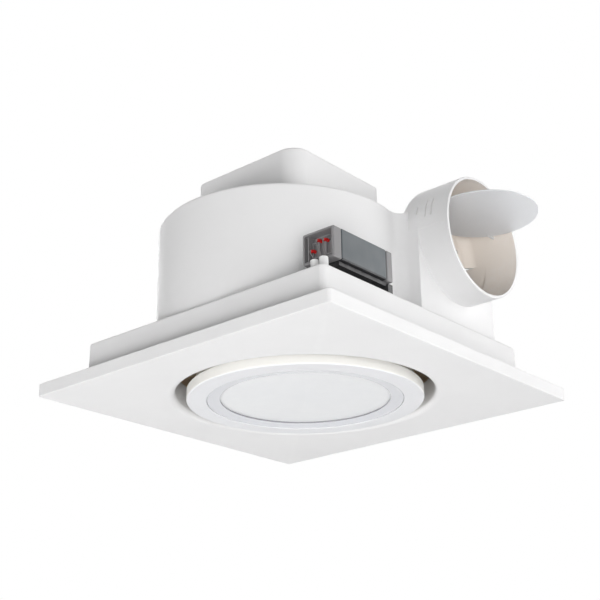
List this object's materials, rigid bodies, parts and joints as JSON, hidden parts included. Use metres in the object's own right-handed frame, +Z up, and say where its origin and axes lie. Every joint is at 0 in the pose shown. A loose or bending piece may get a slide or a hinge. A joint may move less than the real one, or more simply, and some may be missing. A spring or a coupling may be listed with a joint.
{
  "type": "ceiling extractor fan",
  "caption": "Square ceiling extractor fan: fascia with a round lamp in its inlet, drum housing with motor cover, side duct spigot with a backdraft flap, and a lamp driver on the frame.",
  "frame": {"origin": "middle of the square ceiling cut-out, in the plane where the frame's flange meets the ceiling", "axes": "+Z up, into the ceiling; the duct spigot points along -Y; +X runs from the driver towards the outlet"},
  "size_m": [0.3, 0.3291, 0.1905],
  "materials": {
    "white_plastic": "satin white moulding",
    "ivory_plastic": "ivory moulding",
    "cream_paint": "cream powder coat",
    "milky_plastic": "thin milky sheet",
    "clear_plastic": "clear moulding",
    "opal_plastic": "opal diffusing sheet",
    "grey_plastic": "mid-grey moulding",
    "slate_plastic": "dark grey-blue moulding",
    "black_plastic": "black moulding",
    "red_insulation": "red wire insulation",
    "white_lead": "white flexible sheath",
    "circuit_board": "white solder mask",
    "steel": "plain steel",
    "zinc_plate": "zinc-plated sheet steel",
    "enamelled_copper": "enamelled copper wire"
  },
  "bodies": {
    "casing": {"fascia": "white_plastic", "mounting_frame": "white_plastic", "fan_housing": "white_plastic", "inlet_ring": "white_plastic", "motor_cover": "white_plastic", "motor_plate": "zinc_plate", "end_shield_lower": "zinc_plate", "end_shield_upper": "zinc_plate", "bearing_lower": "steel", "bearing_upper": "steel", "stator_core": "steel", "stator_winding_lower": "enamelled_copper", "stator_winding_upper": "enamelled_copper", "lamp_trim_ring": "white_plastic", "lamp_lens_ring": "clear_plastic", "lamp_diffuser": "opal_plastic", "lamp_body": "cream_paint", "led_board": "circuit_board", "lamp_spider": "zinc_plate", "driver_case": "slate_plastic", "driver_cap_near": "grey_plastic", "driver_cap_far": "grey_plastic", "driver_board": "circuit_board", "driver_terminals": "grey_plastic", "driver_cradle": "black_plastic", "lamp_lead": "white_lead", "supply_lead": "white_lead", "supply_terminal": "ivory_plastic", "lead_core_1": "red_insulation", "lead_core_2": "red_insulation", "lead_core_3": "red_insulation", "inlet_ring_screw_1": "steel", "inlet_ring_screw_2": "steel", "inlet_ring_screw_3": "steel", "motor_screw_1": "steel", "motor_screw_2": "steel", "motor_screw_3": "steel", "cover_screw_1": "steel", "cover_screw_2": "steel", "cover_screw_3": "steel", "cover_screw_4": "steel", "spider_screw_1": "steel", "spider_screw_2": "steel", "spider_screw_3": "steel", "spider_screw_4": "steel", "lamp_screw_1": "steel", "lamp_screw_2": "steel", "lamp_screw_3": "steel", "cradle_screw_1": "steel", "cradle_screw_2": "steel", "housing_screw_1": "steel", "housing_screw_2": "steel", "housing_screw_3": "steel", "housing_screw_4": "steel"},
    "flap": {"backdraft_flap": "milky_plastic"},
    "rotor": {"impeller": "ivory_plastic", "impeller_blades": "ivory_plastic", "impeller_nut": "steel", "motor_shaft": "steel", "rotor_core": "steel"}
  },
  "joints": [
    {"name": "flap_swing", "type": "hinge", "parent": "casing", "child": "flap", "pos_m": [0.0705, -0.1146, 0.1342], "axis": [1, 0, 0], "range_deg": [0, 90]},
    {"name": "impeller_spin", "type": "hinge", "parent": "casing", "child": "rotor", "pos_m": [-0.009, 0.009, 0], "axis": [0, 0, 1], "continuous": true}
  ]
}
